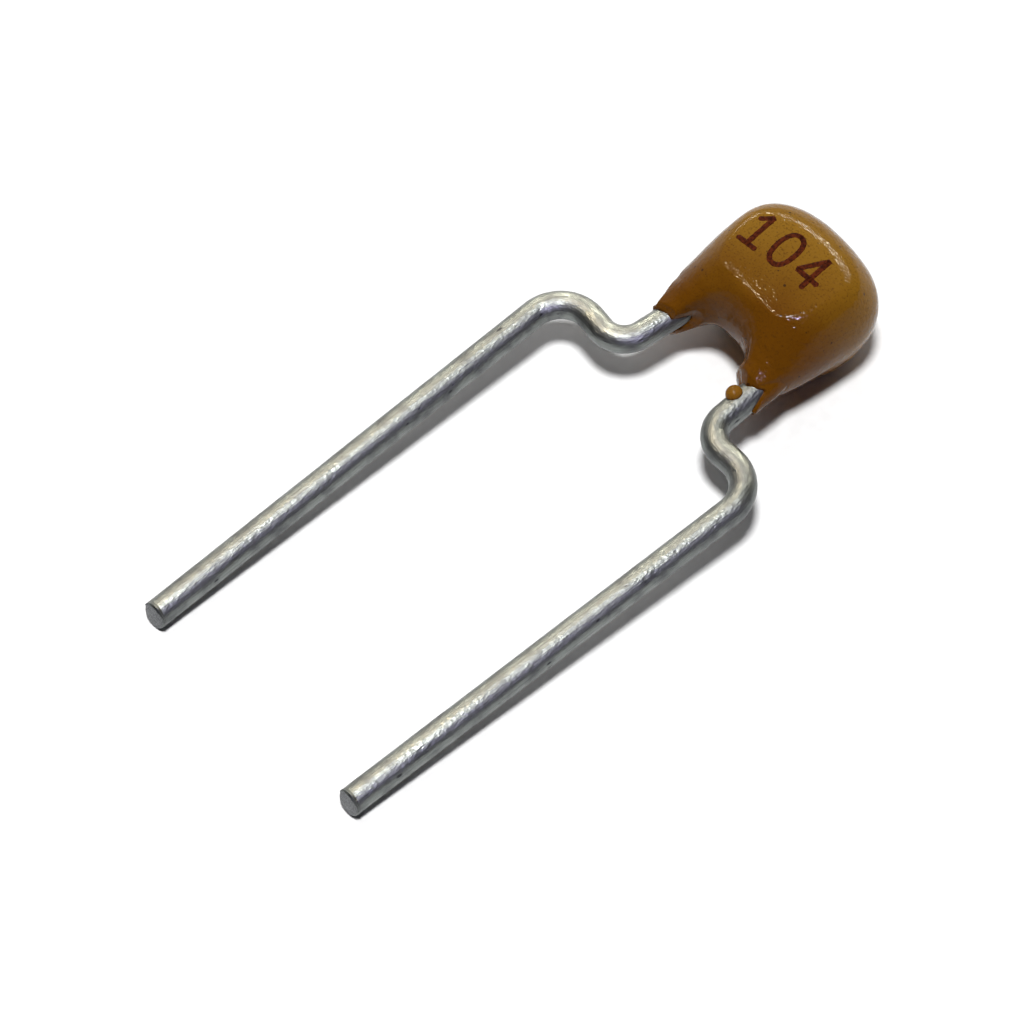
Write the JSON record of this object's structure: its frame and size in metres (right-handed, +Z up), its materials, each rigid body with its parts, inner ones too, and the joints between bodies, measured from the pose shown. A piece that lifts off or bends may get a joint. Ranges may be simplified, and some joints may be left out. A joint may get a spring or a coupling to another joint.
{
  "type": "multilayer ceramic capacitor",
  "caption": "Radial dip-coated multilayer ceramic capacitor with kinked tinned leads, lying as it rests on a bench.",
  "frame": {"origin": "centre of the overall box, at its lowest level: the flat surface that the part lies on", "axes": "+X across the leads towards the right lead, +Y from the lead tips to the crown of the coating, +Z up"},
  "size_m": [0.0058, 0.0134, 0.0022],
  "materials": {
    "epoxy_coat": "gloss",
    "tinned_wire": "satin",
    "solder": "satin",
    "end_metal": "satin",
    "nickel_electrode": "satin",
    "fired_ceramic": "matte"
  },
  "bodies": {
    "root": {"ceramic_block": "fired_ceramic", "left_electrodes": "nickel_electrode", "right_electrodes": "nickel_electrode", "left_end_metal": "end_metal", "right_end_metal": "end_metal", "left_solder": "solder", "right_solder": "solder", "left_lead": "tinned_wire", "right_lead": "tinned_wire", "epoxy_coating": "epoxy_coat", "coating_droplet": "epoxy_coat"}
  },
  "joints": []
}
